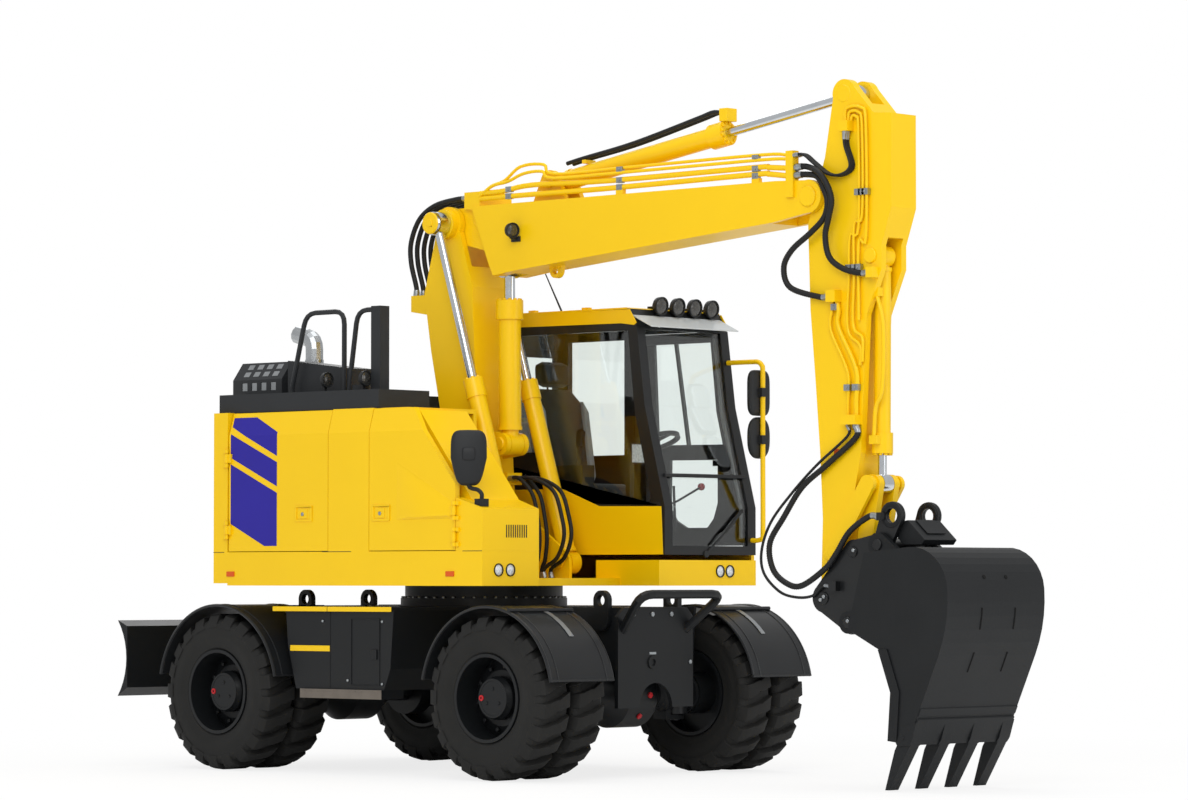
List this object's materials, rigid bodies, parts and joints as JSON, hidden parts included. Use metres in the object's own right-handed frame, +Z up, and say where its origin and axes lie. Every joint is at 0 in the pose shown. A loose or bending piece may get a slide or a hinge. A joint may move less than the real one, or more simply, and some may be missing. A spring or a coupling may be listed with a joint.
{
  "type": "wheeled excavator",
  "caption": "Wheeled excavator with a slewing upper structure, cab, two-piece boom, arm, bucket on a quick coupler and a rear dozer blade.",
  "frame": {"origin": "on the ground below the middle of the machine's bounding box", "axes": "+X forward, +Y to the machine's left, +Z up"},
  "size_m": [6.7901, 2.5639, 4.4192],
  "materials": {
    "yellow_paint": "satin",
    "charcoal_paint": "satin",
    "black_paint": "gloss",
    "tyre_rubber": "matte",
    "chrome_rod": "polished",
    "tinted_glass": "gloss",
    "cab_fabric": "matte",
    "black_plastic": "matte",
    "lamp_lens": "gloss",
    "hose_rubber": "matte"
  },
  "bodies": {
    "undercarriage": {"chassis_frame": "charcoal_paint", "side_boxes": "charcoal_paint", "slew_bearing": "black_paint", "front_axle": "charcoal_paint", "rear_axle": "charcoal_paint", "rear_fenders": "black_paint", "transmission": "charcoal_paint"},
    "knuckle_left_body": {"knuckle_left": "charcoal_paint"},
    "knuckle_right_body": {"knuckle_right": "charcoal_paint"},
    "wheel_front_left": {"tyres_front_left": "tyre_rubber", "rims_front_left": "charcoal_paint"},
    "wheel_front_right": {"tyres_front_right": "tyre_rubber", "rims_front_right": "charcoal_paint"},
    "wheel_rear_left": {"tyres_rear_left": "tyre_rubber", "rims_rear_left": "charcoal_paint"},
    "wheel_rear_right": {"tyres_rear_right": "tyre_rubber", "rims_rear_right": "charcoal_paint"},
    "blade_arms_body": {"blade_arms": "charcoal_paint"},
    "blade_body": {"blade": "charcoal_paint"},
    "blade_cylinder_barrel_body": {"blade_cylinder_barrels": "charcoal_paint"},
    "blade_cylinder_rod_body": {"blade_cylinder_rods": "chrome_rod"},
    "upperstructure": {"upper_frame": "yellow_paint", "counterweight": "yellow_paint", "engine": "black_paint", "housing_panels": "yellow_paint", "front_box": "yellow_paint", "deck_trim": "charcoal_paint", "rails": "charcoal_paint", "mirrors": "black_paint", "cab_shell": "black_paint", "cab_glass": "tinted_glass", "seat": "cab_fabric", "controls": "black_plastic", "lamps": "lamp_lens", "foot_hoses": "hose_rubber"},
    "engine_hood_body": {"engine_hood": "charcoal_paint", "exhaust_stack": "chrome_rod"},
    "right_rear_door_body": {"right_rear_door": "yellow_paint"},
    "right_front_door_body": {"right_front_door": "yellow_paint"},
    "left_service_door_body": {"left_service_door": "yellow_paint"},
    "cab_door_body": {"cab_door": "black_paint", "cab_door_glass": "tinted_glass"},
    "boom_lower_body": {"boom_lower": "yellow_paint", "knuckle_hoses": "hose_rubber"},
    "boom_cylinder_barrel_body": {"boom_cylinder_barrels": "yellow_paint"},
    "boom_cylinder_rod_body": {"boom_cylinder_rods": "chrome_rod"},
    "boom_upper_body": {"boom_upper": "yellow_paint", "arm_hoses": "hose_rubber"},
    "adjust_cylinder_barrel_body": {"adjust_cylinder_barrel": "yellow_paint"},
    "adjust_cylinder_rod_body": {"adjust_cylinder_rod": "chrome_rod"},
    "arm_body": {"arm": "yellow_paint", "tool_hoses": "hose_rubber"},
    "arm_cylinder_barrel_body": {"arm_cylinder_barrel": "yellow_paint"},
    "arm_cylinder_rod_body": {"arm_cylinder_rod": "chrome_rod"},
    "bucket_cylinder_barrel_body": {"bucket_cylinder_barrel": "yellow_paint"},
    "bucket_cylinder_rod_body": {"bucket_cylinder_rod": "chrome_rod"},
    "bucket_levers_body": {"bucket_levers": "yellow_paint"},
    "push_link_body": {"push_link": "yellow_paint"},
    "bucket_body": {"coupler": "black_paint", "bucket": "black_paint"}
  },
  "joints": [
    {"name": "slew", "type": "hinge", "parent": "undercarriage", "child": "upperstructure", "pos_m": [-1.072, 0, 1.1055], "axis": [0, 0, 1], "continuous": true},
    {"name": "steer_left", "type": "hinge", "parent": "undercarriage", "child": "knuckle_left_body", "pos_m": [0.183, 0.54, 0.5275], "axis": [0, 0, 1], "range_deg": [-28, 28]},
    {"name": "steer_right", "type": "hinge", "parent": "undercarriage", "child": "knuckle_right_body", "pos_m": [0.183, -0.54, 0.5275], "axis": [0, 0, 1], "range_deg": [-28, 28]},
    {"name": "wheel_front_left_turn", "type": "hinge", "parent": "knuckle_left_body", "child": "wheel_front_left", "pos_m": [0.183, 0.977, 0.5275], "axis": [0, 1, 0], "continuous": true},
    {"name": "wheel_front_right_turn", "type": "hinge", "parent": "knuckle_right_body", "child": "wheel_front_right", "pos_m": [0.183, -0.977, 0.5275], "axis": [0, 1, 0], "continuous": true},
    {"name": "wheel_rear_left_turn", "type": "hinge", "parent": "undercarriage", "child": "wheel_rear_left", "pos_m": [-2.367, 0.977, 0.5275], "axis": [0, 1, 0], "continuous": true},
    {"name": "wheel_rear_right_turn", "type": "hinge", "parent": "undercarriage", "child": "wheel_rear_right", "pos_m": [-2.367, -0.977, 0.5275], "axis": [0, 1, 0], "continuous": true},
    {"name": "blade_lift", "type": "hinge", "parent": "undercarriage", "child": "blade_arms_body", "pos_m": [-2.772, 0, 0.6195], "axis": [0, 1, 0], "range_deg": [-72, 5]},
    {"name": "blade_level", "type": "hinge", "parent": "blade_arms_body", "child": "blade_body", "pos_m": [-3.212, 0, 0.7795], "axis": [0, 1, 0], "range_deg": [-8.5, 75.5]},
    {"name": "blade_cylinder_swing", "type": "hinge", "parent": "undercarriage", "child": "blade_cylinder_barrel_body", "pos_m": [-2.642, 0, 0.9755], "axis": [0, -1, 0], "range_deg": [-2.8, 33.62]},
    {"name": "blade_cylinder_stroke", "type": "slide", "parent": "blade_cylinder_barrel_body", "child": "blade_cylinder_rod_body", "axis": [-0.9269, 0, -0.3752], "range_m": [-0.021, 0.2755]},
    {"name": "right_rear_door_hinge", "type": "hinge", "parent": "upperstructure", "child": "right_rear_door_body", "pos_m": [-2.295, -1.245, 1.8705], "axis": [0, 0, -1], "range_deg": [0, 100]},
    {"name": "right_front_door_hinge", "type": "hinge", "parent": "upperstructure", "child": "right_front_door_body", "pos_m": [-0.1245, -1.245, 1.6705], "axis": [0, 0, 1], "range_deg": [0, 95]},
    {"name": "left_service_door_hinge", "type": "hinge", "parent": "upperstructure", "child": "left_service_door_body", "pos_m": [-2.295, 1.245, 1.8705], "axis": [0, 0, 1], "range_deg": [0, 100]},
    {"name": "cab_door_hinge", "type": "hinge", "parent": "upperstructure", "child": "cab_door_body", "pos_m": [-0.7395, 1.215, 2.1505], "axis": [0, 0, 1], "range_deg": [0, 150]},
    {"name": "engine_hood_hinge", "type": "hinge", "parent": "upperstructure", "child": "engine_hood_body", "pos_m": [-2.468, 0, 2.4325], "axis": [0, -1, 0], "range_deg": [0, 60]},
    {"name": "boom", "type": "hinge", "parent": "upperstructure", "child": "boom_lower_body", "pos_m": [-0.942, -0.1, 1.7205], "axis": [0, -1, 0], "range_deg": [-80, 3], "deforming": ["foot_hoses"]},
    {"name": "boom_cylinder_swing", "type": "hinge", "parent": "upperstructure", "child": "boom_cylinder_barrel_body", "pos_m": [-0.432, -0.1, 1.4005], "axis": [0, -1, 0], "range_deg": [-72.07, 3.18]},
    {"name": "boom_cylinder_stroke", "type": "slide", "parent": "boom_cylinder_barrel_body", "child": "boom_cylinder_rod_body", "axis": [-0.3018, 0, 0.9534], "range_m": [-0.737, 0.0296]},
    {"name": "adjust", "type": "hinge", "parent": "boom_lower_body", "child": "boom_upper_body", "pos_m": [-1.157, -0.1, 3.6905], "axis": [0, 1, 0], "range_deg": [-65, 3], "deforming": ["knuckle_hoses"]},
    {"name": "adjust_cylinder_swing", "type": "hinge", "parent": "boom_lower_body", "child": "adjust_cylinder_barrel_body", "pos_m": [-0.727, -0.1, 2.1955], "axis": [0, -1, 0], "range_deg": [-4.28, 0.67]},
    {"name": "adjust_cylinder_stroke", "type": "slide", "parent": "adjust_cylinder_barrel_body", "child": "adjust_cylinder_rod_body", "axis": [-0.0084, 0, 1], "range_m": [-0.0276, 0.5558]},
    {"name": "arm", "type": "hinge", "parent": "boom_upper_body", "child": "arm_body", "pos_m": [2.036, -0.1, 3.6955], "axis": [0, -1, 0], "range_deg": [-25, 85], "deforming": ["arm_hoses"]},
    {"name": "arm_cylinder_swing", "type": "hinge", "parent": "boom_upper_body", "child": "arm_cylinder_barrel_body", "pos_m": [-0.272, -0.1, 3.9305], "axis": [0, -1, 0], "range_deg": [-0.67, 1.09]},
    {"name": "arm_cylinder_stroke", "type": "slide", "parent": "arm_cylinder_barrel_body", "child": "arm_cylinder_rod_body", "axis": [0.9882, 0, 0.1533], "range_m": [-0.9441, 0.2791]},
    {"name": "bucket", "type": "hinge", "parent": "arm_body", "child": "bucket_body", "pos_m": [2.183, -0.1, 1.1705], "axis": [0, -1, 0], "range_deg": [-150, 3], "deforming": ["tool_hoses"]},
    {"name": "bucket_cylinder_swing", "type": "hinge", "parent": "arm_body", "child": "bucket_cylinder_barrel_body", "pos_m": [2.508, -0.1, 3.3005], "axis": [0, -1, 0], "range_deg": [-0.6, 5.4]},
    {"name": "bucket_cylinder_stroke", "type": "slide", "parent": "bucket_cylinder_barrel_body", "child": "bucket_cylinder_rod_body", "axis": [-0.007, 0, -1], "range_m": [-0.0205, 0.9261]},
    {"name": "bucket_lever", "type": "hinge", "parent": "arm_body", "child": "bucket_levers_body", "pos_m": [2.218, -0.1, 1.4605], "axis": [0, -1, 0], "range_deg": [-121.97, 2.93]},
    {"name": "push_link_turn", "type": "hinge", "parent": "bucket_body", "child": "push_link_body", "pos_m": [2.423, -0.1, 1.4585], "axis": [0, -1, 0], "range_deg": [-2.69, 110.13]}
  ],
  "couplings": [
    {"joint": "steer_right", "follows": "steer_left", "ratio": 1},
    {"joint": "blade_level", "follows": "blade_lift", "ratio": -1},
    {"joint": "blade_cylinder_swing", "follows": "blade_lift", "ratio": -0.45999},
    {"joint": "blade_cylinder_stroke", "follows": "blade_lift", "m_per_rad": -0.21764},
    {"joint": "boom_cylinder_swing", "follows": "boom", "ratio": 0.8946},
    {"joint": "boom_cylinder_stroke", "follows": "boom", "m_per_rad": 0.52643},
    {"joint": "adjust_cylinder_swing", "follows": "adjust", "ratio": 0.058154},
    {"joint": "adjust_cylinder_stroke", "follows": "adjust", "m_per_rad": -0.48818},
    {"joint": "arm_cylinder_swing", "follows": "arm", "ratio": 0.00692},
    {"joint": "arm_cylinder_stroke", "follows": "arm", "m_per_rad": -0.63502},
    {"joint": "bucket_cylinder_swing", "follows": "bucket", "ratio": -0.032644},
    {"joint": "bucket_cylinder_stroke", "follows": "bucket", "m_per_rad": -0.35296},
    {"joint": "bucket_lever", "follows": "bucket", "ratio": 0.80977},
    {"joint": "push_link_turn", "follows": "bucket", "ratio": -0.73088}
  ]
}
